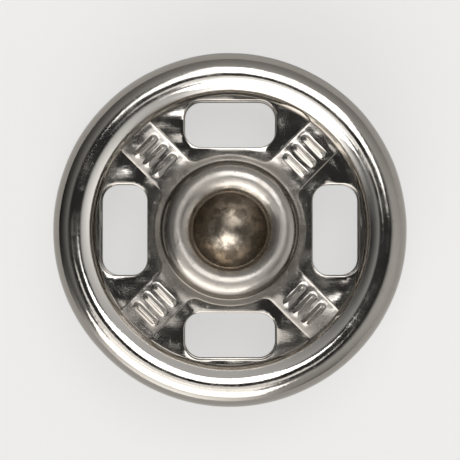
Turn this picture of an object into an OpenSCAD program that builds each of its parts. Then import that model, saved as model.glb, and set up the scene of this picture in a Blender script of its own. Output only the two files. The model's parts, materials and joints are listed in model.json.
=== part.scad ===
// Sew-on snap fastener of nickel-plated brass, closed, lying on the back of its socket half.
// Each half is a shell with a rolled rim and four sewing holes, which clamps the
// four arms of a stamped plate. The ball half's plate carries the drawn stud. The
// socket half holds a double-S wire spring between its hub and its plate, and the
// spring's two limbs close on the stud's neck.
// Millimetres, +Z up. The origin is on the axis, at the plane the socket half rests on.

/* [Rim] */

// outside diameter over the rolled rim
snap_d = 8; // [7.8:0.1:10]
// width of the rolled rim, seen along the axis
rim_w = 0.98; // [0.92:0.02:1.04]
// height taken off the crest of the rolled rim, which leaves the flat land it lies on
land_cut = 0.01; // [0.005:0.005:0.03]
// how deep the shell's web lies below the face side of its rim
web_drop = 0.2; // [0.16:0.01:0.22]

/* [Sheet] */

// thickness of the shells' sheet
shell_t = 0.2; // [0.16:0.01:0.22]
// thickness of the sheet of both plates, and of the stud drawn from it
plate_t = 0.16; // [0.13:0.01:0.18]
// thickness of the hub, thinned by drawing
hub_t = 0.18; // [0.15:0.01:0.2]

/* [Sewing holes] */

// length of a sewing hole across the radius
hole_long = 2.06; // [1.8:0.02:2.12]
// width of a sewing hole along the radius
hole_wide = 1.05; // [0.9:0.01:1.08]
// corner radius of a sewing hole
hole_corner = 0.38; // [0.3:0.01:0.42]

/* [Arms] */

// width of an arm of the plates
arm_w = 0.95; // [0.8:0.01:1.05]
// how far a cross rib stands out of an arm
rib_rise = 0.05; // [0.03:0.01:0.07]
// length of a cross rib
rib_len = 0.56; // [0.4:0.02:0.64]

/* [Stud] */

// largest radius of the stud's head
head_r = 1.13; // [1.08:0.01:1.16]
// how much narrower the neck is than the head, all round
neck_step = 0.13; // [0.1:0.01:0.15]
// radius of the head's rounded edge, in section
head_round = 0.36; // [0.33:0.01:0.38]
// radius of the dome that ends the head
dome_r = 1.5; // [1.4:0.05:1.8]
// tube radius of the rounded ring that stands around the stud's hollow
ring_round = 0.36; // [0.34:0.01:0.38]

/* [Socket hub] */

// height of the hub above the web around it
hub_rise = 0.85; // [0.8:0.01:0.95]
// outer rounding of the hub's shoulder, in section
hub_round = 0.3; // [0.25:0.01:0.33]
// gap between the stud's head and the hub's opening, all round
head_gap = 0.06; // [0.04:0.01:0.08]
// gap between the hub and the web of the ball half when the fastener is closed
close_gap = 0.04; // [0.03:0.01:0.08]

/* [Spring] */

// diameter of the spring wire
wire_d = 0.3; // [0.26:0.01:0.3]
// how far the ring of the spring stands outside its limbs
limb_bow = 0.26; // [0.25:0.005:0.27]
// angle at which the ring of the spring turns into its shoulders
shoulder_at = 28; // [27:0.5:30]
// gap between the limbs and the stud's neck
limb_gap = 0.01; // [0.01:0.005:0.02]
// play of the spring under the hub's roof, and again above the plate
spring_play = 0.02; // [0.02:0.005:0.03]
// play around the spring in its chamber
chamber_play = 0.03; // [0.03:0.005:0.04]
// angle from the open side of the spring to each of its tips
tip_at = 34; // [30:1:40]

/* [Hidden] */

$fn = 64;
// how far a cut runs past a face
cut = 0.5;
// rolled rim: tube radius, the circle its middle runs on, its inner edge
rim_r = rim_w / 2;
rim_at = snap_d / 2 - rim_r;
rim_in = snap_d / 2 - rim_w;
// height of a half, from the face side of its rim to the land on its sewn side
half_h = rim_w - land_cut;
// heights inside a half, measured from the face side of its rim
web_back = web_drop + shell_t;
arm_back = web_back + plate_t;
clamp_at = arm_back + 0.01;
// where an arm ends, inside the rolled rim
arm_end = rim_at - 0.12;
// sewing holes: the middle of one, so that its corners stop just inside the rim
hole_reach = rim_in - 0.02 - hole_corner;
hole_side = hole_long / 2 - hole_corner;
hole_at = sqrt(hole_reach * hole_reach - hole_side * hole_side) - hole_wide / 2 + hole_corner;
// stud: radius of the neck, and of its bore
neck_r = head_r - neck_step;
bore_r = neck_r - plate_t;
// spring: wire radius, distance of a limb from the axis, radius of the ring
wire_r = wire_d / 2;
limb_x = neck_r + limb_gap + wire_r;
coil_r = limb_x + limb_bow;
// chamber in the hub, the hub's outside and its opening
chamber_r = coil_r + wire_r + chamber_play;
hub_r = chamber_r + hub_t;
mouth_r = head_r + head_gap;
// spring shoulders: their radius, their middle, and the limb's radius and half angle
shoulder_r = 2 * wire_r;
shoulder_x = (coil_r - shoulder_r) * cos(shoulder_at);
shoulder_y = (coil_r - shoulder_r) * sin(shoulder_at);
bow_in = limb_x - shoulder_x;
bow_sum = pow(bow_in, 2) + pow(shoulder_y, 2) - pow(shoulder_r, 2);
bow_r = bow_sum / (2 * (shoulder_r - bow_in));
bow_a = atan2(shoulder_y, bow_in + bow_r);
// round knuckle where two bends of the wire meet, and how far short of it each stops
knuckle_r = 1.1 * wire_r;
short = 0.2 * wire_r;
// heights with the socket half lying on its back and the ball half closed on it
hub_top = half_h - web_drop + hub_rise;
roof_z = hub_top - hub_t;
spring_z = roof_z - spring_play - wire_r;
collar_top = spring_z - wire_r - spring_play;
ball_z = hub_top - web_drop + close_gap;
// stud: the middle of the head's rounding, the dome's middle above it
head_at = head_r - head_round;
head_z = spring_z - sqrt(pow(wire_r + head_round + 0.02, 2) - pow(limb_x - head_at, 2));
dome_up = sqrt(pow(dome_r - head_round, 2) - head_at * head_at);
// rounded ring around the hollow: the circle its middle runs on and its height
ring_at = bore_r + ring_round;
ring_z = ball_z + web_back + plate_t / 2;
// plates: radius of the middle disc that the arms leave
disc_r = hub_r - 0.06;
// collar of the socket plate: outside radius, rounding of its shoulder
collar_r = chamber_r - 0.03;
collar_round = plate_t + 0.04;
// cross ribs: radius of their round back and how far apart they lie
rib_r = 0.1;
rib_step = 0.3;
rib_at = (disc_r + rim_in) / 2;

// every separate piece

// plate with rounded corners, drawn with true arcs
module round_slot(along, across, corner) {
  square([along - 2 * corner, across], center = true);
  square([along, across - 2 * corner], center = true);
  for (sx = [-1, 1], sy = [-1, 1])
    translate([sx * (along / 2 - corner), sy * (across / 2 - corner)])
      circle(r = corner);
}

// section of a shell's rolled rim, open on its inner side where the arms go in
module rim_section() {
  difference() {
    translate([rim_at, rim_r])
      circle(r = rim_r);
    translate([rim_at, rim_r])
      circle(r = rim_r - shell_t);
    translate([rim_in - cut, web_back])
      square([rim_at - rim_in + cut, clamp_at - web_back]);
    translate([rim_in - cut, half_h])
      square([rim_w + 2 * cut, cut]);
  }
}

// four sewing holes through a web
module sewing_holes() {
  for (k = [0:3])
    rotate([0, 0, 90 * k])
      translate([hole_at, 0, web_drop - 0.1])
        linear_extrude(height = shell_t + 0.2)
          round_slot(hole_wide, hole_long, hole_corner);
}

// shell: rolled rim and web, face side down, with an opening of the given radius
module shell_body(open_r) {
  difference() {
    rotate_extrude() {
      rim_section();
      translate([open_r, web_drop])
        square([rim_in + shell_t * 0.75 - open_r, shell_t]);
    }
    sewing_holes();
  }
}

// flat part of a plate: middle disc and four arms, with an opening of the given radius
module spider(open_r) {
  difference() {
    union() {
      translate([0, 0, web_back])
        cylinder(r = disc_r, h = plate_t);
      intersection() {
        translate([0, 0, web_back])
          cylinder(r = arm_end, h = plate_t);
        for (a = [45, 135])
          rotate([0, 0, a])
            translate([-rim_at, -arm_w / 2, web_back])
              cube([2 * rim_at, arm_w, plate_t]);
      }
      arm_ribs();
    }
    translate([0, 0, web_back - cut])
      cylinder(r = open_r, h = plate_t + 2 * cut);
  }
}

// cross ribs pressed up out of the four arms
module arm_ribs() {
  for (a = [45:90:315], k = [-1, 0, 1])
    rotate([0, 0, a])
      translate([rib_at + k * rib_step, 0, arm_back + rib_rise - rib_r])
        intersection() {
          rotate([90, 0, 0])
            cylinder(r = rib_r, h = rib_len, center = true);
          translate([-rib_r, -rib_len / 2, rib_r - rib_rise - plate_t / 2])
            cube([2 * rib_r, rib_len, rib_rise + plate_t]);
        }
}

// section of the hub drawn up from the socket shell's web, face side down
module hub_section() {
  roof = web_drop - hub_rise;
  turn = hub_r - hub_round;
  translate([mouth_r + hub_t / 2, roof + hub_t / 2])
    circle(r = hub_t / 2);
  translate([mouth_r + hub_t / 2, roof])
    square([turn - mouth_r - hub_t / 2, hub_t]);
  intersection() {
    difference() {
      translate([turn, roof + hub_round])
        circle(r = hub_round);
      translate([turn, roof + hub_round])
        circle(r = hub_round - hub_t);
    }
    translate([turn, roof])
      square([hub_round, hub_round]);
  }
  translate([chamber_r, roof + hub_round])
    square([hub_t, web_back - roof - hub_round]);
}

// section of the collar drawn up from the socket plate, face side down
module collar_section() {
  top = half_h - collar_top;
  turn = collar_r - collar_round;
  lip = mouth_r + plate_t / 2;
  translate([lip, top + plate_t / 2])
    circle(r = plate_t / 2);
  translate([lip, top])
    square([turn - lip, plate_t]);
  intersection() {
    difference() {
      translate([turn, top + collar_round])
        circle(r = collar_round);
      translate([turn, top + collar_round])
        circle(r = collar_round - plate_t);
    }
    translate([turn, top])
      square([collar_round, collar_round]);
  }
  translate([collar_r - plate_t, top + collar_round])
    square([plate_t, arm_back - top - collar_round]);
}

// filled section of the stud, from its dome to the ring's middle
module stud_fill(inset) {
  translate([0, head_z])
    square([neck_r - inset, ring_z - head_z]);
  translate([head_at, head_z])
    circle(r = head_round - inset);
  intersection() {
    translate([0, head_z + dome_up])
      circle(r = dome_r - inset);
    polygon([
      [0, head_z + dome_up],
      [2 * head_at, head_z - dome_up],
      [2 * head_at, head_z + dome_up - 2 * dome_r],
      [0, head_z + dome_up - 2 * dome_r]
    ]);
  }
}

// section of the stud and of the rounded ring that leads into its hollow
module stud_section() {
  difference() {
    stud_fill(0);
    stud_fill(plate_t);
    translate([0, head_z])
      square([bore_r, ring_z - head_z + cut]);
  }
  intersection() {
    difference() {
      translate([ring_at, ring_z])
        circle(r = ring_round);
      translate([ring_at, ring_z])
        circle(r = ring_round - plate_t);
    }
    translate([bore_r, ring_z])
      square([2 * ring_round, ring_round]);
  }
  translate([ring_at + ring_round - plate_t, ball_z + web_back])
    square([plate_t, plate_t / 2]);
}

// one bend of the spring wire about a point, from one angle through another
module bend(x, y, radius, from, through) {
  trim = short / radius * 180 / PI;
  translate([x, y, 0])
    rotate([0, 0, from + trim])
      rotate_extrude(angle = through - 2 * trim)
        translate([radius, 0])
          circle(r = wire_r, $fn = 16);
}

// round knuckle between two bends, or round tip of the wire
module knuckle(x, y) {
  translate([x, y, 0])
    sphere(r = knuckle_r, $fn = 16);
}

// shoulder of the spring, with the knuckles at its two ends
module shoulder() {
  bend(shoulder_x, shoulder_y, shoulder_r, -bow_a, shoulder_at + bow_a);
  knuckle(coil_r * cos(shoulder_at), coil_r * sin(shoulder_at));
  knuckle(shoulder_x + shoulder_r * cos(bow_a), shoulder_y - shoulder_r * sin(bow_a));
}

// one side of the spring: two shoulders, the limb between them and the flared end
module spring_side() {
  shoulder();
  mirror([0, 1, 0])
    shoulder();
  bend(limb_x + bow_r, 0, bow_r, 180 - bow_a, 2 * bow_a);
  bend(0, 0, coil_r, tip_at - 90, 90 - tip_at - shoulder_at);
  knuckle(coil_r * sin(tip_at), -coil_r * cos(tip_at));
}

// socket half's shell: rolled rim, web with four sewing holes and drawn hub
module socket_shell() {
  color([0.75, 0.73, 0.69])
    translate([0, 0, half_h])
      rotate([180, 0, 0]) {
        shell_body(chamber_r);
        rotate_extrude()
          hub_section();
      }
}

// socket half's plate: four arms and the collar that closes the spring chamber
module socket_plate() {
  color([0.7, 0.68, 0.64])
    translate([0, 0, half_h])
      rotate([180, 0, 0]) {
        spider(collar_r - plate_t / 2);
        rotate_extrude()
          collar_section();
      }
}

// double-S spring wire that closes on the neck of the stud
module spring_wire() {
  color([0.62, 0.48, 0.3])
    translate([0, 0, spring_z]) {
      bend(0, 0, coil_r, shoulder_at, 180 - 2 * shoulder_at);
      spring_side();
      mirror([1, 0, 0])
        spring_side();
    }
}

// ball half's shell: rolled rim and web with four sewing holes
module ball_shell() {
  color([0.75, 0.73, 0.69])
    translate([0, 0, ball_z])
      shell_body(neck_r + 0.04);
}

// ball half's plate: four arms, the rounded ring and the hollow stud
module ball_plate() {
  color([0.7, 0.68, 0.64]) {
    translate([0, 0, ball_z])
      spider(ring_at + ring_round - plate_t / 2);
    rotate_extrude()
      stud_section();
  }
}

socket_shell();
socket_plate();
spring_wire();
ball_shell();
ball_plate();
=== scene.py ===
"""Looks of a closed sew-on snap fastener: bright nickel on stamped brass, lying on its socket half.

Every piece is drawn again with fine rounded edges over its plain solid. Sections are in
millimetres, with heights above the face side of a half, and turn into metres at the end.
"""

import json
import math

import bmesh
import bpy
import numpy as np
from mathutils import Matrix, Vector, geometry, noise

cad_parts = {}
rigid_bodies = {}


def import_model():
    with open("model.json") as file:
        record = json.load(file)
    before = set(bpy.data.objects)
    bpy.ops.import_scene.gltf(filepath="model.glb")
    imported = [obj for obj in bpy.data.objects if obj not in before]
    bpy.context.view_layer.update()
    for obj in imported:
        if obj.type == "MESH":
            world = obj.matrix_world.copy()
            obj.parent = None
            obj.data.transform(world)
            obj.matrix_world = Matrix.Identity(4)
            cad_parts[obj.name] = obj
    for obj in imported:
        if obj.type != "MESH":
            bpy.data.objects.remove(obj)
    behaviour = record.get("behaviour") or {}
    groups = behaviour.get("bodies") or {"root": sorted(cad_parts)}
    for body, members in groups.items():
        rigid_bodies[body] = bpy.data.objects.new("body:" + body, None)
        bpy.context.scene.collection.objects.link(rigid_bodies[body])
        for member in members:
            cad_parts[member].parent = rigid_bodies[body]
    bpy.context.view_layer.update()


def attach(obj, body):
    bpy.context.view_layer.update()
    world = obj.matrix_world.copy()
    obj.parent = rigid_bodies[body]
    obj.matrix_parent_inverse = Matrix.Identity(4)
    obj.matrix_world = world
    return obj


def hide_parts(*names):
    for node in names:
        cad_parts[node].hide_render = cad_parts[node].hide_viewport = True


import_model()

MM = 0.001

# Rolled rim and web of a shell, in millimetres

HALF_H = 0.97
SHELL_T = 0.2
RIM_TUBE = 0.49
RIM_AT = 3.51
RIM_IN = RIM_AT - RIM_TUBE
RIM_FILLET = 0.06
RIM_LIP = 0.05
RIM_BREAK = 0.02
CLAMP_AT = 0.57
BED_OUT = 3.2
WEB_LOW = 0.2
WEB_TOP = WEB_LOW + SHELL_T
WEB_OUT = 3.08

# Sewing holes

HOLE_AT = 2.393
HOLE_CORNER = 0.38
HOLE_SIDE = 1.05 / 2 - HOLE_CORNER
HOLE_END = 2.06 / 2 - HOLE_CORNER

# Plate with its arms, which lies a hair above the web

PLATE_T = 0.16
PLATE_IN = 1.64
PLATE_LOW = WEB_TOP + 0.003
ARM_TOP = WEB_TOP + PLATE_T
ARM_HALF = 0.475
ARM_END = 3.39
DISC_R = 1.72
DISC_FILLET = 0.2

# Ring, stud and the eye that the stud passes

RING_AT = 1.2
RING_Z = WEB_TOP + PLATE_T / 2
RING_FOOT = 0.05
NECK_R = 1.0
NECK_BEND = 0.08
BORE_R = 0.84
BORE_BEND = 0.07
HEAD_AT = 0.77
HEAD_ROUND = 0.36
DOME_R = 1.5
EYE_R = 1.04
EYE_WEB_IN = 1.5

# Hub and collar of the socket half

MOUTH_R = 1.19
HUB_R = 1.78
HUB_T = 0.18
HUB_TURN = 1.48
HUB_ROOF = -0.65
HUB_ROUND = 0.3
HUB_FILLET = 0.06
HUB_FOOT = 0.035
HUB_WEB_IN = HUB_R + HUB_FOOT
COLLAR_R = 1.57
COLLAR_TOP = -0.13
COLLAR_TURN = 1.37
COLLAR_ROUND = 0.2
COLLAR_FILLET = 0.08

# Spring

WIRE_R = 0.15
WIRE_CLEAR = 0.02
COIL_R = 1.42
LIMB_X = 1.16
SHOULDER_R = 0.3
SHOULDER_AT = 28.0
TIP_AT = 34.0

# Heights in the closed fastener; the stud's head hangs just under the spring's limbs

SPRING_Z = 1.27
BALL_Z = 1.46
HEAD_Z = SPRING_Z - math.sqrt((WIRE_R + HEAD_ROUND + WIRE_CLEAR) ** 2 - (LIMB_X - HEAD_AT) ** 2) - BALL_Z
DOME_UP = math.sqrt((DOME_R - HEAD_ROUND) ** 2 - HEAD_AT**2)

# Fineness of the meshes

AROUND = 288
SOFT_EDGE = 0.03
SOFT_STEPS = 4
DOT_STEP = 0.07
ROW_STEP = 0.866 * DOT_STEP
DOT_ROOM = 0.55 * DOT_STEP
WELD = 0.0004
TINY_EDGE = 0.00005
NO_AREA = 1e-7
SHARP = 40.0

# Colours

SHELL_TINT = (0.64, 0.61, 0.57)
PLATE_TINT = (0.52, 0.49, 0.455)
PIT_BROWN = (0.33, 0.3, 0.27, 1.0)
GRIME_AND_SHADE = (0.2, 0.18, 0.155, 1.0)
STAIN_PALE = (0.5, 0.435, 0.36, 1.0)
DARK_STAIN_AND_SHADE = (0.22, 0.185, 0.145, 1.0)
PAINTED_BRIGHT_SLOPE = (0.88, 0.85, 0.81, 1.0)
PAINTED_SHADE_GREY = (0.24, 0.225, 0.205, 1.0)
BRONZE_BRIGHT = (0.66, 0.46, 0.27, 1.0)
BRONZE_DARK = (0.42, 0.28, 0.17, 1.0)
CARD_WHITE = (0.9, 0.895, 0.885)
BACKGROUND = (0.84, 0.835, 0.825)
WHITE_LIGHT = (1.0, 1.0, 1.0)
WARM_LIGHT = (1.0, 0.985, 0.96)
WARMER_LIGHT = (1.0, 0.98, 0.95)
ROOM_LIGHT = (1.0, 0.99, 0.97, 1.0)


# Node trees


class Signal:
    """A number that varies over a surface. Sums and products on it add Math nodes."""

    def __init__(self, maker, socket):
        self.maker = maker
        self.socket = socket

    def _math(self, operation, left, right=0.0, clamp=False):
        settings = {"operation": operation, "use_clamp": clamp}
        return self.maker.node("ShaderNodeMath", settings, {0: left, 1: right})

    def __add__(self, other):
        return self._math("ADD", self, other)

    def __radd__(self, other):
        return self._math("ADD", other, self)

    def __sub__(self, other):
        return self._math("SUBTRACT", self, other)

    def __rsub__(self, other):
        return self._math("SUBTRACT", other, self)

    def __mul__(self, other):
        return self._math("MULTIPLY", self, other)

    def __rmul__(self, other):
        return self._math("MULTIPLY", other, self)

    def __truediv__(self, other):
        return self._math("DIVIDE", self, other)

    def __rtruediv__(self, other):
        return self._math("DIVIDE", other, self)

    def __pow__(self, other):
        return self._math("POWER", self, other)

    def __rpow__(self, other):
        return self._math("POWER", other, self)

    def __abs__(self):
        return self._math("ABSOLUTE", self)

    def least(self, other):
        return self._math("MINIMUM", self, other)

    def most(self, other):
        return self._math("MAXIMUM", self, other)

    def rounded(self):
        return self._math("ROUND", self)

    def whole(self):
        return self._math("FLOOR", self)

    def cosine(self):
        return self._math("COSINE", self)

    def sine(self):
        return self._math("SINE", self)

    def clipped(self):
        return self._math("MULTIPLY", self, 1.0, clamp=True)

    def between(self, low, high):
        """0 below low, 1 above high and a smooth rise between them."""
        return self.maker.node(
            "ShaderNodeMapRange",
            {"interpolation_type": "SMOOTHSTEP"},
            {"Value": self, "From Min": low, "From Max": high},
        )

    def band(self, outside, full, leaving, gone):
        """A smooth rise from outside to full and a smooth fall from leaving to gone."""
        return self.between(outside, full) * (1.0 - self.between(leaving, gone))


class NodeTree:
    """A tree whose nodes all come from node()."""

    def __init__(self, tree):
        self.tree = tree

    def node(self, kind, settings=None, values=None, out=0):
        """A node with its settings, then the values or links of its sockets. Gives one of its outputs."""
        made = self.tree.nodes.new(kind)
        for key, value in (settings or {}).items():
            setattr(made, key, value)
        for key, value in (values or {}).items():
            socket = made.inputs[key]
            if isinstance(value, Signal):
                self.tree.links.new(value.socket, socket)
            else:
                socket.default_value = value
        return Signal(self, made.outputs[out]) if made.outputs else None

    def parts(self, vector):
        """The three numbers of a vector."""
        split = self.node("ShaderNodeSeparateXYZ", values={0: vector}).socket.node
        return [Signal(self, socket) for socket in split.outputs]

    def vector(self, x=0.0, y=0.0, z=0.0):
        return self.node("ShaderNodeCombineXYZ", values={"X": x, "Y": y, "Z": z})

    def lumps(self, where, scale, detail, rough=0.5):
        """Noise around 0.5, with scale features to the unit of where."""
        return self.node(
            "ShaderNodeTexNoise",
            {"noise_dimensions": "3D"},
            {"Vector": where, "Scale": scale, "Detail": detail, "Roughness": rough},
        )


class Finish(NodeTree):
    """One procedural material, on Object coordinates in metres."""

    def __init__(self, name):
        self.material = bpy.data.materials.new(name)
        self.material.use_nodes = True
        super().__init__(self.material.node_tree)
        self.tree.nodes.clear()
        self.place = self.node("ShaderNodeTexCoord", out="Object")

    def stretched(self, by):
        return self.node("ShaderNodeVectorMath", {"operation": "MULTIPLY"}, {0: self.place, 1: by})

    def grain(self, scale, detail=2.0, rough=0.5, stretch=None):
        """Noise with scale features a metre, around 0.5."""
        return self.lumps(self.stretched(stretch) if stretch else self.place, scale, detail, rough)

    def radius(self):
        """Distance from the fastener's axis, in millimetres."""
        flat = self.stretched((1.0 / MM, 1.0 / MM, 0.0))
        return self.node("ShaderNodeVectorMath", {"operation": "LENGTH"}, {0: flat}, out="Value")

    def height(self):
        """Height above the surface the fastener lies on, in millimetres."""
        return self.parts(self.place)[2] * (1.0 / MM)

    def mixed(self, share, first, second):
        return self.node(
            "ShaderNodeMix",
            {"data_type": "RGBA", "blend_type": "MIX"},
            {"Factor": share, 6: first, 7: second},
            out=2,
        )

    def bumped(self, height, distance, normal=None):
        values = {"Strength": 1.0, "Distance": distance, "Height": height}
        if normal:
            values["Normal"] = normal
        return self.node("ShaderNodeBump", values=values)

    def shine(self, colour, roughness, normal, metallic=1.0):
        shader = self.node(
            "ShaderNodeBsdfPrincipled",
            values={"Base Color": colour, "Metallic": metallic, "Roughness": roughness, "Normal": normal},
        )
        self.node("ShaderNodeOutputMaterial", values={"Surface": shader})
        return self.material


def nickel(name, tint, pitting, wave, wave_depth, low_rough, high_rough):
    """Bright nickel plating with faint tumbling marks and dull patches. Painted shade with grime darkens
    its grooves, brown stains with painted shade darken the stud's hollow, a painted highlight lightens the
    rims' inner slope and painted shade greys their widest line.
    """
    finish = Finish(name)
    radius = finish.radius()
    height = finish.height()
    patches = finish.grain(900.0, 3.0, 0.6).between(0.35, 0.7)
    specks = finish.grain(9000.0).between(0.62, 0.78)
    murk = finish.grain(3200.0, 3.0, 0.55).between(0.4, 0.6)
    # places on the fastener, by distance from the axis and by height in millimetres
    from_dome = (radius ** 2.0 + (height - (BALL_Z + HEAD_Z + DOME_UP)) ** 2.0) ** 0.5
    hollow_stain_and_shade = (1.0 - radius.between(0.88, 1.1)) * (1.0 - from_dome.between(DOME_R - 0.1, DOME_R - 0.04))
    # painted shade with grime: the grooves round the ring and in the rims' fold are darkened
    shaded_ring_groove = radius.band(1.36, 1.5, 1.66, 1.92)
    shaded_rim_groove = radius.band(2.92, RIM_IN, 3.03, 3.09)
    shaded_groove = shaded_ring_groove + 0.5 * shaded_rim_groove
    # painted highlight band on the rims' inner slope
    brightened_inner_slope = radius.band(WEB_OUT, 3.16, 3.34, 3.48)
    # painted shade along the rims' widest line
    shaded_widest_line = radius.between(3.6, 3.84)
    rim_crests = height.between(2.37, 2.42) + 1.0 - height.between(0.01, 0.06)
    ring_crest = radius.band(1.0, 1.12, 1.27, 1.4) * height.between(2.1, 2.2)

    duller_tint = (tint[0] * 0.86, tint[1] * 0.84, tint[2] * 0.81, 1.0)
    colour = finish.mixed(patches * 0.5, tint + (1.0,), duller_tint)
    colour = finish.mixed(specks * pitting, colour, PIT_BROWN)
    # painted shade and grime darken the grooves
    colour = finish.mixed((shaded_groove * 0.8).clipped(), colour, GRIME_AND_SHADE)
    # brown stains with painted shade darken the stud's hollow
    colour = finish.mixed(hollow_stain_and_shade.clipped(), colour, finish.mixed(murk, STAIN_PALE, DARK_STAIN_AND_SHADE))
    # painted highlight: the rims' inner slope is made paler, and painted shade: their widest line is greyer
    # than the crests
    colour = finish.mixed(brightened_inner_slope, colour, PAINTED_BRIGHT_SLOPE)
    colour = finish.mixed(0.74 * shaded_widest_line, colour, PAINTED_SHADE_GREY)

    roughness = low_rough + (high_rough - low_rough) * patches + 0.12 * specks
    roughness = roughness + 0.1 * shaded_groove + 0.08 * hollow_stain_and_shade
    # the rims' crests rub on cloth and are a little duller in places, the ring's crest all round
    roughness = roughness + 0.1 * rim_crests * finish.grain(2200.0, 3.0, 0.6).between(0.55, 0.75)
    roughness = roughness + 0.14 * ring_crest

    marks = finish.grain(2600.0, 3.0, 0.6, stretch=(1.0, 3.5, 1.0))
    marks = marks + finish.grain(3100.0, 3.0, 0.6, stretch=(3.8, 1.0, 1.0))
    normal = finish.bumped(finish.grain(wave, 2.0, 0.45), wave_depth)
    normal = finish.bumped(marks, 1.2e-6, normal)
    return finish.shine(colour, roughness.clipped(), normal, 1.0 - 0.35 * hollow_stain_and_shade * murk)


def bronze(name):
    """Drawn bronze wire with fine lines and darker patches."""
    finish = Finish(name)
    patches = finish.grain(1500.0, 3.0, 0.6).between(0.35, 0.7)
    colour = finish.mixed(patches, BRONZE_BRIGHT, BRONZE_DARK)
    normal = finish.bumped(finish.grain(9000.0), 1.5e-6)
    return finish.shine(colour, 0.18 + 0.2 * patches, normal)


def floor_card(name, even_share):
    """Pale board. The camera sees a share of its colour at an even level, and the rest lit and shaded."""
    finish = Finish(name)
    tone = finish.grain(60.0, 3.0).between(0.3, 0.7)
    shade = finish.mixed(tone, CARD_WHITE + (1.0,), tuple(0.985 * c for c in CARD_WHITE) + (1.0,))
    bump = finish.bumped(finish.grain(4000.0), 2e-6)
    lit = finish.node("ShaderNodeBsdfDiffuse", values={"Color": shade, "Normal": bump})
    even = finish.node("ShaderNodeEmission", values={"Color": shade, "Strength": 1.0})
    share = even_share * finish.node("ShaderNodeLightPath", out="Is Camera Ray")
    card = finish.node("ShaderNodeMixShader", values={"Fac": share, 1: lit, 2: even})
    # looked at from below, it lets the fastener show
    below = finish.node("ShaderNodeNewGeometry", out="Backfacing")
    clear = finish.node("ShaderNodeBsdfTransparent")
    sided = finish.node("ShaderNodeMixShader", values={"Fac": below, 1: card, 2: clear})
    finish.node("ShaderNodeOutputMaterial", values={"Surface": sided})
    return finish.material


# Sections, from the axis outwards, and outlines seen along it


def arc(x, z, radius, start, end, steps):
    """Points on an arc, both ends included, angles in degrees."""
    turn = [math.radians(start + (end - start) * k / steps) for k in range(steps + 1)]
    return [(x + radius * math.cos(a), z + radius * math.sin(a)) for a in turn]


def straight(start, end, parts):
    """Points from start, which is left out, to end."""
    return [tuple(a + (b - a) * k / parts for a, b in zip(start, end)) for k in range(1, parts + 1)]


def rotated(points, turn):
    """Points turned about the axis by an angle in degrees."""
    cosine = math.cos(math.radians(turn))
    sine = math.sin(math.radians(turn))
    return [(x * cosine - y * sine, x * sine + y * cosine) for x, y in points]


def circle(radius):
    return arc(0.0, 0.0, radius, 0.0, 360.0, AROUND)[:-1]


def rim_line():
    """Rolled rim, from the web's face side round the outside to the web's sewn side."""
    drop = RIM_TUBE - WEB_LOW + RIM_FILLET
    side = math.sqrt((RIM_TUBE + RIM_FILLET) ** 2 - drop**2)
    lean = math.degrees(math.atan2(drop, side))
    bore = RIM_TUBE - SHELL_T
    lip_up = CLAMP_AT + RIM_LIP - RIM_TUBE
    bore_up = CLAMP_AT + RIM_BREAK - RIM_TUBE
    outer_end = math.degrees(math.asin(lip_up / RIM_TUBE))
    bore_end = math.degrees(math.asin(bore_up / bore))
    outer_x = RIM_AT - math.sqrt(RIM_TUBE**2 - lip_up**2)
    bore_x = RIM_AT - math.sqrt(bore**2 - bore_up**2)
    line = arc(RIM_AT - side, WEB_LOW - RIM_FILLET, RIM_FILLET, 90, lean, 6)
    line += arc(RIM_AT, RIM_TUBE, RIM_TUBE, 180 + lean, 540 - outer_end, 76)[1:]
    line += arc(outer_x + RIM_LIP, CLAMP_AT + RIM_LIP, RIM_LIP, 180, 270, 5)[1:]
    line += [(bore_x - RIM_BREAK, CLAMP_AT)]
    line += arc(RIM_AT, RIM_TUBE, bore, 180 - bore_end, -160, 34)
    line += [(BED_OUT, WEB_TOP)]
    # the crest stays inside the half's height
    squeeze = (HALF_H - RIM_TUBE) / RIM_TUBE
    line = [(x, RIM_TUBE + (z - RIM_TUBE) * squeeze if z > RIM_TUBE else z) for x, z in line]
    return [(WEB_OUT, WEB_LOW)] + line + [(WEB_OUT, WEB_TOP)]


def eye_line():
    """Rounded edge of the ball shell's web around the stud."""
    half = SHELL_T / 2
    edge = arc(EYE_R + half, WEB_LOW + half, half, 90, 270, 10)
    return [(EYE_WEB_IN, WEB_TOP)] + edge + [(EYE_WEB_IN, WEB_LOW)]


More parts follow.
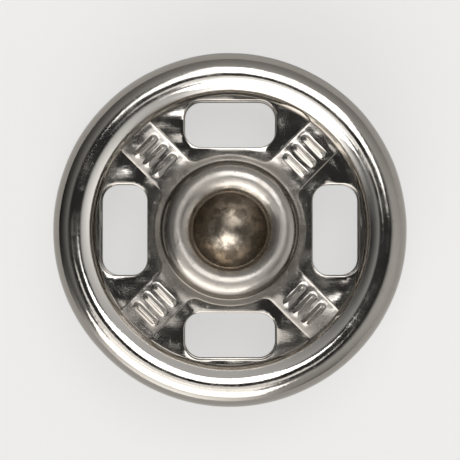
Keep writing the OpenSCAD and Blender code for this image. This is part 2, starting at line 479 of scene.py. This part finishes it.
def ring_and_stud_lines():
    """Sewn side of the ring and stud from the plate in to the axis, then its face side back out."""
    rise = ARM_TOP + RING_FOOT - RING_Z
    reach = math.sqrt((HEAD_ROUND + RING_FOOT) ** 2 - rise**2)
    lean = math.degrees(math.atan2(rise, reach))
    inner = HEAD_ROUND - PLATE_T
    dome_z = HEAD_Z + DOME_UP
    touch = math.degrees(math.atan2(-DOME_UP, HEAD_AT))

    aside = BORE_R + BORE_BEND - HEAD_AT
    up = math.sqrt((inner + BORE_BEND) ** 2 - aside**2)
    start = math.degrees(math.atan2(up, aside))
    upper = [(PLATE_IN, ARM_TOP)]
    upper += arc(RING_AT + reach, ARM_TOP + RING_FOOT, RING_FOOT, 270, 180 + lean, 5)
    upper += arc(RING_AT, RING_Z, HEAD_ROUND, lean, 180, 40)[1:]
    upper += arc(BORE_R + BORE_BEND, HEAD_Z + up, BORE_BEND, 180, 180 + start, 5)
    upper += arc(HEAD_AT, HEAD_Z, inner, start, touch, 14)[1:]
    upper += arc(0.0, dome_z, DOME_R - PLATE_T, touch, -90, 22)[1:-1]
    upper += [(0.0, dome_z - DOME_R + PLATE_T)]

    aside = NECK_R + NECK_BEND - HEAD_AT
    up = math.sqrt((HEAD_ROUND + NECK_BEND) ** 2 - aside**2)
    start = math.degrees(math.atan2(up, aside))
    lower = [(0.0, dome_z - DOME_R)]
    lower += arc(0.0, dome_z, DOME_R, -90, touch, 26)[1:]
    lower += arc(HEAD_AT, HEAD_Z, HEAD_ROUND, touch, start, 22)[1:]
    lower += arc(NECK_R + NECK_BEND, HEAD_Z + up, NECK_BEND, 180 + start, 180, 6)[1:]
    lower += arc(RING_AT, RING_Z, inner, 180, 0, 16)
    lower += [(RING_AT + inner, PLATE_LOW), (PLATE_IN, PLATE_LOW)]
    return upper, lower


def hub_line():
    """Hub of the socket shell, from the web's sewn side through the mouth to its face side."""
    line = [(HUB_WEB_IN, WEB_TOP)]
    line += arc(HUB_R - HUB_T + HUB_FILLET, WEB_TOP - HUB_FILLET, HUB_FILLET, 90, 180, 5)
    line += arc(HUB_TURN, HUB_ROOF + HUB_ROUND, HUB_ROUND - HUB_T, 0, -90, 8)
    line += arc(MOUTH_R + HUB_T / 2, HUB_ROOF + HUB_T / 2, HUB_T / 2, 90, 270, 14)
    line += arc(HUB_TURN, HUB_ROOF + HUB_ROUND, HUB_ROUND, -90, 0, 14)
    line += arc(HUB_WEB_IN, WEB_LOW - HUB_FOOT, HUB_FOOT, 180, 90, 5)
    return line


def collar_line():
    """Collar of the socket plate, from the plate's sewn side round the lip to its face side."""
    line = [(PLATE_IN, ARM_TOP)]
    line += arc(COLLAR_R - PLATE_T + COLLAR_FILLET, ARM_TOP - COLLAR_FILLET, COLLAR_FILLET, 90, 180, 6)
    line += arc(COLLAR_TURN, COLLAR_TOP + COLLAR_ROUND, COLLAR_ROUND - PLATE_T, 0, -90, 5)
    line += arc(MOUTH_R + PLATE_T / 2, COLLAR_TOP + PLATE_T / 2, PLATE_T / 2, 90, 270, 14)
    line += arc(COLLAR_TURN, COLLAR_TOP + COLLAR_ROUND, COLLAR_ROUND, -90, 0, 10)
    line += [(COLLAR_R, PLATE_LOW), (PLATE_IN, PLATE_LOW)]
    return line


def slot_outline(turn, grow):
    """One sewing hole's outline, grown outwards by grow."""
    corners = (
        (HOLE_SIDE, HOLE_END, 0),
        (-HOLE_SIDE, HOLE_END, 90),
        (-HOLE_SIDE, -HOLE_END, 180),
        (HOLE_SIDE, -HOLE_END, 270),
    )
    loop = []
    for k, (x, y, start) in enumerate(corners):
        loop += arc(HOLE_AT + x, y, HOLE_CORNER + grow, start, start + 90, 12)
        next_x, next_y, next_start = corners[(k + 1) % 4]
        ahead = arc(HOLE_AT + next_x, next_y, HOLE_CORNER + grow, next_start, next_start, 1)[0]
        loop += straight(loop[-1], ahead, 18 if k % 2 else 4)[:-1]
    return rotated(loop, turn)


def spider_outline(grow):
    """Outline of a plate's middle disc and four arms, grown outwards by grow."""
    away = DISC_R + DISC_FILLET
    up = ARM_HALF + DISC_FILLET
    along = math.sqrt(away * away - up * up)
    lean = math.degrees(math.atan2(up, along))
    end = ARM_END + grow
    half = ARM_HALF + grow
    fillet = DISC_FILLET - grow
    arm = arc(along, -up, fillet, 180 - lean, 90, 8)
    arm += straight((along, -half), (end, -half), 26)
    arm += straight((end, -half), (end, half), 14)
    arm += straight((end, half), (along, half), 26)
    arm += arc(along, up, fillet, 270, 180 + lean, 8)[1:]
    arm += arc(0, 0, DISC_R + grow, lean, 90 - lean, 18)[1:-1]
    return [point for k in range(4) for point in rotated(arm, 45 + 90 * k)]


# Meshes


def inside(x, y, loop):
    """Whether a point lies inside a closed outline."""
    hit = False
    for (ax, ay), (bx, by) in zip(loop, loop[1:] + loop[:1]):
        if (ay > y) != (by > y) and x < (bx - ax) * (y - ay) / (by - ay) + ax:
            hit = not hit
    return hit


def dots(reach, keep):
    """Staggered points of a sheet, kept off its edges."""
    found = []
    steps = int(reach / DOT_STEP) + 1
    for i in range(-steps, steps + 1):
        for j in range(-steps, steps + 1):
            x = (i + 0.5 * (j % 2)) * DOT_STEP
            y = j * ROW_STEP
            if keep(x, y, DOT_ROOM):
                found.append(Vector((x, y)))
    return found


def flat_region(outer, holes, inner_points, keep):
    """Triangles between outlines. keep says whether a point is sheet, and at what distance from an edge."""
    points = []
    edges = []
    for loop in [outer] + holes:
        first = len(points)
        points += [Vector(p) for p in loop]
        edges += [(first + k, first + (k + 1) % len(loop)) for k in range(len(loop))]
    verts, _, faces, _, _, _ = geometry.delaunay_2d_cdt(points + inner_points, edges, [], 0, 1e-6)
    kept = []
    for face in faces:
        first, second, third = (verts[v] for v in face)
        middle = (first + second + third) / 3
        flattened = abs((second - first).cross(third - first)) < NO_AREA
        if not flattened and keep(middle.x, middle.y, 0.0):
            kept.append(tuple(face))
    return [(v.x, v.y) for v in verts], kept


class Skin:
    """Gathers one piece's surfaces, then welds them into one closed mesh."""

    def __init__(self):
        self.verts = []
        self.faces = []

    def add(self, verts, faces):
        first = len(self.verts)
        self.verts += [tuple(v) for v in verts]
        self.faces += [tuple(first + v for v in face) for face in faces]

    def add_flat(self, region, z):
        points, faces = region
        self.add([(x, y, z) for x, y in points], faces)

    def add_edge(self, outline, low, top, sign):
        """Wall of a punched edge, rounded at both faces. sign 1 is for a hole, -1 for an outline."""
        levels = []
        for k in range(SOFT_STEPS + 1):
            angle = math.radians(90 * k / SOFT_STEPS)
            grow = sign * SOFT_EDGE * (1 - math.sin(angle))
            levels.append((grow, low + SOFT_EDGE * (1 - math.cos(angle))))
        levels += [(grow, low + top - z) for grow, z in reversed(levels)]
        loops = [[(x, y, z) for x, y in outline(grow)] for grow, z in levels]
        count = len(loops[0])
        faces = []
        for k in range(len(loops) - 1):
            for s in range(count):
                t = (s + 1) % count
                faces.append((k * count + s, k * count + t, (k + 1) * count + t, (k + 1) * count + s))
        self.add([point for loop in loops for point in loop], faces)

    def add_turned(self, recipe, line, finish, uneven=0.0, seed=0.0):
        """Surface of a section line turned about the axis."""
        mesh = turned(recipe, line, finish, uneven, seed)
        places = np.empty(len(mesh.vertices) * 3, np.float64)
        mesh.vertices.foreach_get("co", places)
        self.add((places.reshape(-1, 3) / MM).tolist(), [tuple(p.vertices) for p in mesh.polygons])

    def press(self, recipe, **values):
        """Pass what is gathered so far through a pressing tree."""
        mesh = recipe.made_from(self.verts, [], self.faces, **values)
        self.verts = [tuple(v.co) for v in mesh.vertices]
        self.faces = [tuple(p.vertices) for p in mesh.polygons]
        bpy.data.meshes.remove(mesh)

    def piece(self, name, lift, flip=False, pressed=None):
        """Object of the welded skin, moved up by lift and turned over if flip."""
        mesh = bpy.data.meshes.new(name)
        mesh.from_pydata(self.verts, [], self.faces)
        bm = bmesh.new()
        bm.from_mesh(mesh)
        bmesh.ops.remove_doubles(bm, verts=bm.verts, dist=WELD)
        bmesh.ops.dissolve_degenerate(bm, edges=bm.edges, dist=TINY_EDGE)
        for v in bm.verts:
            if pressed:
                v.co.z += pressed(v.co)
            if flip:
                v.co = Vector((v.co.x, -v.co.y, HALF_H - v.co.z))
            v.co.z += lift
            v.co *= MM
        bmesh.ops.recalc_face_normals(bm, faces=bm.faces)
        if bm.calc_volume(signed=True) < 0:
            bmesh.ops.reverse_faces(bm, faces=bm.faces)
        open_edges = sum(1 for e in bm.edges if not e.is_manifold)
        print(f"{name}: {len(bm.faces)} faces, {open_edges} open edges")
        bm.to_mesh(mesh)
        bm.free()
        mesh.shade_smooth()
        mesh.set_sharp_from_angle(angle=math.radians(SHARP))
        return placed(name, mesh)


def placed(name, data):
    """Object of that mesh, lamp or camera in the scene."""
    made = bpy.data.objects.new(name, data)
    bpy.context.scene.collection.objects.link(made)
    return made


# Geometry Nodes


class Recipe(NodeTree):
    """One Geometry Nodes tree."""

    def __init__(self, name, inputs):
        super().__init__(bpy.data.node_groups.new(name, "GeometryNodeTree"))
        self.tree.interface.new_socket("Geometry", in_out="INPUT", socket_type="NodeSocketGeometry")
        self.tree.interface.new_socket("Geometry", in_out="OUTPUT", socket_type="NodeSocketGeometry")
        self.ids = {}
        for label, (kind, default) in inputs.items():
            socket = self.tree.interface.new_socket(label, in_out="INPUT", socket_type=kind)
            if default is not None:
                socket.default_value = default
            self.ids[label] = socket.identifier
        self.source = self.tree.nodes.new("NodeGroupInput")
        self.sink = self.tree.nodes.new("NodeGroupOutput")

    def given(self, label):
        return Signal(self, self.source.outputs[label])

    def end(self, made):
        whole = self.node("GeometryNodeRealizeInstances", values={0: made})
        finish = self.given("Finish")
        dressed = self.node("GeometryNodeSetMaterial", values={"Geometry": whole, "Material": finish})
        self.tree.links.new(dressed.socket, self.sink.inputs[0])

    def made_from(self, points, links, faces=(), **values):
        """Plain mesh that the tree makes of a line or a sheet of points."""
        line = bpy.data.meshes.new("line")
        line.from_pydata(points, links, faces)
        carrier = placed("line", line)
        modifier = carrier.modifiers.new("recipe", "NODES")
        modifier.node_group = self.tree
        for label, value in values.items():
            modifier[self.ids[label.replace("_", " ")]] = value
        carrier.update_tag()
        bpy.context.view_layer.update()
        evaluated = carrier.evaluated_get(bpy.context.evaluated_depsgraph_get())
        mesh = bpy.data.meshes.new_from_object(evaluated)
        bpy.data.objects.remove(carrier)
        bpy.data.meshes.remove(line)
        return mesh


def turned_recipe():
    """A section turned about the axis, with a slight unevenness of the rolled rim."""
    recipe = Recipe(
        "turned_section",
        {
            "Around": ("NodeSocketInt", AROUND),
            "Along": ("NodeSocketInt", 8),
            "Uneven": ("NodeSocketFloat", 0.0),
            "Seed": ("NodeSocketFloat", 0.0),
            "Finish": ("NodeSocketMaterial", None),
        },
    )
    around = recipe.given("Around")
    along = recipe.given("Along")
    grid = recipe.node("GeometryNodeMeshGrid", values={"Vertices X": around + 1.0, "Vertices Y": along})
    index = recipe.node("GeometryNodeInputIndex")
    # a quarter keeps the rounding down clear of whole numbers
    column = ((index + 0.25) / along).whole()
    section = recipe.node(
        "GeometryNodeSampleIndex",
        {"data_type": "FLOAT_VECTOR", "domain": "POINT"},
        {
            "Geometry": recipe.given("Geometry"),
            "Value": recipe.node("GeometryNodeInputPosition"),
            "Index": index - column * along,
        },
    )
    radius, _, height = recipe.parts(section)
    # the last column lies exactly on the first
    turns = column / around
    angle = (turns - turns.whole()) * (2 * math.pi)
    cosine = angle.cosine()
    sine = angle.sine()
    lumps = recipe.lumps(recipe.vector(cosine, sine, recipe.given("Seed")), 2.4, 1.5)
    radius = radius - radius.between(3.14 * MM, 3.5 * MM) * lumps * recipe.given("Uneven")
    place = recipe.vector(radius * cosine, radius * sine, height)
    moved = recipe.node("GeometryNodeSetPosition", values={"Geometry": grid, "Position": place})
    recipe.end(recipe.node("GeometryNodeMergeByDistance", values={"Geometry": moved, "Distance": 1e-7}))
    return recipe


def press_recipe():
    """Crown, cross ribs and slight dents pressed into the sewn side of a plate's arms, in millimetres."""
    recipe = Recipe(
        "pressed_arms",
        {
            "Ribs": ("NodeSocketInt", 3),
            "Rib Pitch": ("NodeSocketFloat", 0.3),
            "Rib Width": ("NodeSocketFloat", 0.2),
            "Rib Length": ("NodeSocketFloat", 0.62),
            "Rib Rise": ("NodeSocketFloat", 0.055),
            "Middle": ("NodeSocketFloat", (DISC_R + RIM_IN) / 2),
            "Crown": ("NodeSocketFloat", 0.02),
            "Dents": ("NodeSocketFloat", 0.03),
            "Seed": ("NodeSocketFloat", 0.0),
            "Finish": ("NodeSocketMaterial", None),
        },
    )
    x, y, z = recipe.parts(recipe.node("GeometryNodeInputPosition"))
    radius = (x * x + y * y) ** 0.5
    # along the nearest arm and across it, as the arms lie on the diagonals
    rising = abs((x + y) * math.sqrt(0.5))
    falling = abs((x - y) * math.sqrt(0.5))
    along = rising.most(falling)
    aside = rising.least(falling)
    sewn_side = (z * 100.0 - 100.0 * (ARM_TOP - 0.06)).clipped()
    arm = along.between(1.7, 1.9)
    crown = arm * recipe.given("Crown") * (aside / ARM_HALF) ** 2.0
    half_rib = recipe.given("Rib Length") * 0.5
    across = 1.0 - aside.between(half_rib - 0.07, half_rib + 0.03)
    # the nearest rib, counted from the middle one
    pitch = recipe.given("Rib Pitch")
    off = along - recipe.given("Middle")
    last = (recipe.given("Ribs") - 1.0) * 0.5
    nearest = (off / pitch + last).rounded().most(0.0).least(last * 2.0) - last
    beside = abs((off - nearest * pitch) / recipe.given("Rib Width") * 2.0).least(1.0)
    rib = 0.5 + 0.5 * (beside * math.pi).cosine()
    lumps = recipe.lumps(recipe.vector(x, y, recipe.given("Seed")), 1.9, 1.0)
    dents = (lumps - 0.5) * recipe.given("Dents") * radius.band(1.66, 1.85, 2.9, 3.0)
    rise = arm * across * rib * recipe.given("Rib Rise") - crown + dents
    shift = recipe.vector(z=rise * sewn_side * radius.between(1.66, 1.7))
    sheet = recipe.given("Geometry")
    recipe.end(recipe.node("GeometryNodeSetPosition", values={"Geometry": sheet, "Offset": shift}))
    return recipe


def wire_recipe():
    """Round wire drawn along a line of points."""
    recipe = Recipe(
        "drawn_wire",
        {
            "Thickness": ("NodeSocketFloat", 2 * WIRE_R * MM),
            "Sides": ("NodeSocketInt", 28),
            "Finish": ("NodeSocketMaterial", None),
        },
    )
    path = recipe.node("GeometryNodeMeshToCurve", values={0: recipe.given("Geometry")})
    ring = recipe.node(
        "GeometryNodeCurvePrimitiveCircle",
        values={"Resolution": recipe.given("Sides"), "Radius": recipe.given("Thickness") * 0.5},
    )
    # the wire's cut ends are rounded over
    along = recipe.node("GeometryNodeSplineParameter")
    from_cut = (along.least(1.0 - along) * 240.0).least(1.0)
    swell = (1.0 - (1.0 - from_cut) ** 2.0).most(0.02) ** 0.5
    tube = recipe.node(
        "GeometryNodeCurveToMesh",
        values={
            "Curve": recipe.node("GeometryNodeSetCurveRadius", values={"Curve": path, "Radius": swell}),
            "Profile Curve": ring,
            "Fill Caps": True,
        },
    )
    recipe.end(tube)
    return recipe


def turned(recipe, line, finish, uneven, seed):
    """Section line, in millimetres, turned about the axis into a mesh in metres."""
    points = [(x * MM, 0.0, z * MM) for x, z in line]
    links = [(k, k + 1) for k in range(len(points) - 1)]
    return recipe.made_from(points, links, Along=len(points), Uneven=uneven * MM, Seed=seed, Finish=finish)


# Shells, plates and spring


def web_region(inner_r):
    """Web of a shell outside a circle, with the four sewing holes."""

    def keep(x, y, room):
        if not inner_r + room < math.hypot(x, y) < WEB_OUT - room:
            return False
        # how far the point lies past the straight sides of the nearest hole
        past_side = max(abs(max(abs(x), abs(y)) - HOLE_AT) - HOLE_SIDE, 0.0)
        past_end = max(min(abs(x), abs(y)) - HOLE_END, 0.0)
        return math.hypot(past_side, past_end) > HOLE_CORNER + SOFT_EDGE + room

    holes = [slot_outline(90 * k, SOFT_EDGE) for k in range(4)]
    return flat_region(circle(WEB_OUT), [circle(inner_r)] + holes, dots(WEB_OUT, keep), keep)


def spider_region(fine):
    """Plate's disc and arms, with close rows of points along the arms if fine."""
    outline = spider_outline(-SOFT_EDGE)

    def on_arm(x, y):
        """Distance along the nearest arm, and across it."""
        rising = abs(x + y) / math.sqrt(2)
        falling = abs(x - y) / math.sqrt(2)
        return max(rising, falling), min(rising, falling)

    def keep(x, y, room):
        radius = math.hypot(x, y)
        if radius < PLATE_IN + room:
            return False
        if not room:
            return inside(x, y, outline)
        along, aside = on_arm(x, y)
        shrink = SOFT_EDGE + room
        return (aside < ARM_HALF - shrink and along < ARM_END - shrink) or radius < DISC_R - shrink

    def coarse(x, y, room):
        return keep(x, y, room) and not (fine and on_arm(x, y)[0] > 1.78)

    points = dots(ARM_END, coarse)
    if fine:
        rows = [(1.8 + 0.022 * i, 0.04 * j) for i in range(72) for j in range(-10, 11)]
        for k in range(4):
            points += [Vector(point) for point in rotated(rows, 45 + 90 * k) if keep(*point, 0.015)]
    return flat_region(outline, [circle(PLATE_IN)], points, keep)


def web_pressed(seed):
    """How far the press left a web off flat, fading out towards the hub and the rim."""
    start = 1.83
    end = 3.05
    depth = 0.03
    size = 0.55

    def pressed(co):
        radius = math.hypot(co.x, co.y)
        if not start < radius < end or co.z > WEB_TOP + 0.01 or co.z < WEB_LOW - 0.01:
            return 0.0
        weight = min((radius - start) / 0.25, (end - radius) / 0.2, 1.0)
        weight = weight * weight * (3 - 2 * weight)
        return weight * depth * noise.noise(Vector((co.x / size, co.y / size, seed)))

    return pressed


def shell_skin(turning, web_in, middle_line, finish, seed):
    """Shell: rolled rim, web with its sewing holes and what lies inside the web."""
    skin = Skin()
    skin.add_turned(turning, rim_line(), finish, uneven=0.03, seed=seed)
    skin.add_turned(turning, middle_line, finish)
    web = web_region(web_in)
    skin.add_flat(web, WEB_LOW)
    skin.add_flat(web, WEB_TOP)
    for k in range(4):
        skin.add_edge(lambda grow, turn=90 * k: slot_outline(turn, grow), WEB_LOW, WEB_TOP, 1)
    return skin


def plate_skin(turning, pressing, middle_lines, finish, seed):
    """Plate: disc and arms, pressed on their sewn side, and what lies inside the disc."""
    skin = Skin()
    for line in middle_lines:
        skin.add_turned(turning, line, finish)
    skin.add_flat(spider_region(fine=False), PLATE_LOW)
    skin.add_flat(spider_region(fine=True), ARM_TOP)
    skin.add_edge(spider_outline, PLATE_LOW, ARM_TOP, -1)
    skin.press(pressing, Seed=seed, Finish=finish)
    return skin


def spring_path():
    """Middle line of the double-S wire, tip to tip, in millimetres."""
    shoulder_x = (COIL_R - SHOULDER_R) * math.cos(math.radians(SHOULDER_AT))
    shoulder_y = (COIL_R - SHOULDER_R) * math.sin(math.radians(SHOULDER_AT))
    bow_in = LIMB_X - shoulder_x
    bow_r = (bow_in**2 + shoulder_y**2 - SHOULDER_R**2) / (2 * (SHOULDER_R - bow_in))
    bow_a = math.degrees(math.atan2(shoulder_y, bow_in + bow_r))
    side = arc(0, 0, COIL_R, 90, SHOULDER_AT, 40)
    side += arc(shoulder_x, shoulder_y, SHOULDER_R, SHOULDER_AT, -bow_a, 16)[1:]
    side += arc(LIMB_X + bow_r, 0, bow_r, 180 - bow_a, 180 + bow_a, 24)[1:]
    side += arc(shoulder_x, -shoulder_y, SHOULDER_R, bow_a, -SHOULDER_AT, 16)[1:]
    side += arc(0, 0, COIL_R, -SHOULDER_AT, TIP_AT - 90, 20)[1:]
    # fine steps at the tip, where the wire is rounded over
    side = side[:-1] + straight(side[-2], side[-1], 12)
    return [(-x, y) for x, y in reversed(side[1:])] + side


shell_nickel = nickel(
    "shell_nickel", SHELL_TINT, pitting=0.35, wave=620.0, wave_depth=22e-6, low_rough=0.07, high_rough=0.17
)
plate_nickel = nickel(
    "plate_nickel", PLATE_TINT, pitting=0.5, wave=2400.0, wave_depth=10e-6, low_rough=0.13, high_rough=0.27
)
wire_bronze = bronze("wire_bronze")

turning = turned_recipe()
pressing = press_recipe()

ball_shell = shell_skin(turning, EYE_WEB_IN, eye_line(), shell_nickel, seed=3.7)
ball_plate = plate_skin(turning, pressing, ring_and_stud_lines(), plate_nickel, seed=1.9)
socket_shell = shell_skin(turning, HUB_WEB_IN, hub_line(), shell_nickel, seed=8.1)
socket_plate = plate_skin(turning, pressing, [collar_line()], plate_nickel, seed=6.4)

path = spring_path()
wire_mesh = wire_recipe().made_from(
    [(x * MM, y * MM, SPRING_Z * MM) for x, y in path],
    [(k, k + 1) for k in range(len(path) - 1)],
    Finish=wire_bronze,
)
wire_mesh.shade_smooth()

for piece, node, body, material, slot in (
    (
        ball_shell.piece("ball_shell_skin", BALL_Z, pressed=web_pressed(4.3)),
        "ball_shell", "ball_half", shell_nickel, "nickel_shell",
    ),
    (
        ball_plate.piece("ball_plate_skin", BALL_Z),
        "ball_plate", "ball_half", plate_nickel, "nickel_plate",
    ),
    (
        socket_shell.piece("socket_shell_skin", 0.0, flip=True, pressed=web_pressed(9.6)),
        "socket_shell", "socket_half", shell_nickel, "nickel_shell",
    ),
    (
        socket_plate.piece("socket_plate_skin", 0.0, flip=True),
        "socket_plate", "socket_half", plate_nickel, "nickel_plate",
    ),
    (
        placed("spring_wire_skin", wire_mesh),
        "spring_wire", "spring", wire_bronze, "bronze_wire",
    ),
):
    piece.data.materials.clear()
    piece.data.materials.append(material)
    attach(piece, body)
    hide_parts(node)


# Floor, room, lights and camera


def floor_board(reach):
    """Square board that the fastener lies on, part of the stage."""
    mesh = bpy.data.meshes.new("floor_board")
    corners = [(-reach, -reach, 0.0), (reach, -reach, 0.0), (reach, reach, 0.0), (-reach, reach, 0.0)]
    mesh.from_pydata(corners, [], [(0, 1, 2, 3)])
    mesh.materials.append(floor_card("floor_card", even_share=0.68))
    placed("floor_board", mesh)


def room(ceiling, walls, bright_wall, side_wall):
    """Surroundings: a dark ceiling, dim walls, one bright wall and one paler, and pale for the camera."""
    world = bpy.data.worlds.new("studio")
    bpy.context.scene.world = world
    world.use_nodes = True
    studio = NodeTree(world.node_tree)
    studio.tree.nodes.clear()
    across, ahead, up = studio.parts(studio.node("ShaderNodeTexCoord", out="Generated"))

    def towards(azimuth):
        """1 in that direction, falling to 0 a quarter turn away."""
        turn = math.radians(azimuth)
        return (across * math.cos(turn) + ahead * math.sin(turn)).most(0.0)

    def below(high, low):
        """0 above the zenith angle high, 1 below the angle low."""
        return 1.0 - up.between(math.cos(math.radians(low)), math.cos(math.radians(high)))

    dim = (1.0 - towards(180) ** 1.5) * (1.0 - 0.85 * towards(300) ** 16.0)
    level = ceiling + walls * below(26, 42) * dim
    level = level + bright_wall * below(57, 72) * towards(248) ** 6.0
    level = level + side_wall * below(34, 50) * towards(343) ** 4.0
    lit = studio.node("ShaderNodeBackground", values={"Color": ROOM_LIGHT, "Strength": level})
    pale = studio.node("ShaderNodeBackground", values={"Color": BACKGROUND + (1.0,), "Strength": 1.0})
    camera_ray = studio.node("ShaderNodeLightPath", out="Is Camera Ray")
    both = studio.node("ShaderNodeMixShader", values={"Fac": camera_ray, 1: lit, 2: pale})
    studio.node("ShaderNodeOutputWorld", values={"Surface": both})


def soft_box(name, azimuth, zenith, wide, high, level, colour):
    """Soft box half a metre off, its place and spread in degrees, at a level where 1 is white."""
    azimuth = math.radians(azimuth)
    zenith = math.radians(zenith)
    sideways = math.sin(zenith)
    out = Vector((sideways * math.cos(azimuth), sideways * math.sin(azimuth), math.cos(zenith)))
    data = bpy.data.lights.new(name, "AREA")
    data.shape = "RECTANGLE"
    data.size = math.tan(math.radians(wide / 2))
    data.size_y = math.tan(math.radians(high / 2))
    data.energy = level * math.pi * data.size * data.size_y
    data.color = colour
    lamp = placed(name, data)
    lamp.location = out * 0.5
    lamp.rotation_euler = out.to_track_quat("Z", "Y").to_euler()


floor_board(2.0)
room(ceiling=0.025, walls=0.38, bright_wall=2.2, side_wall=0.45)
soft_box("box_top", 74, 23, 35, 30, 2.9, WHITE_LIGHT)
soft_box("box_low_near", 250, 14, 26, 15, 1.0, WARM_LIGHT)
soft_box("box_low_mid", 250, 28, 34, 16, 1.4, WARM_LIGHT)
soft_box("box_low", 251, 50, 58, 29, 2.4, WARMER_LIGHT)

camera_data = bpy.data.cameras.new("camera")
camera_data.lens = 250.0
camera_data.sensor_width = 36.0
camera_data.clip_start = 0.001
camera_data.clip_end = 20.0
camera = placed("camera", camera_data)
camera.location = (0.0, 0.0, 0.0739)
bpy.context.scene.camera = camera
bpy.context.scene.view_settings.view_transform = "Standard"
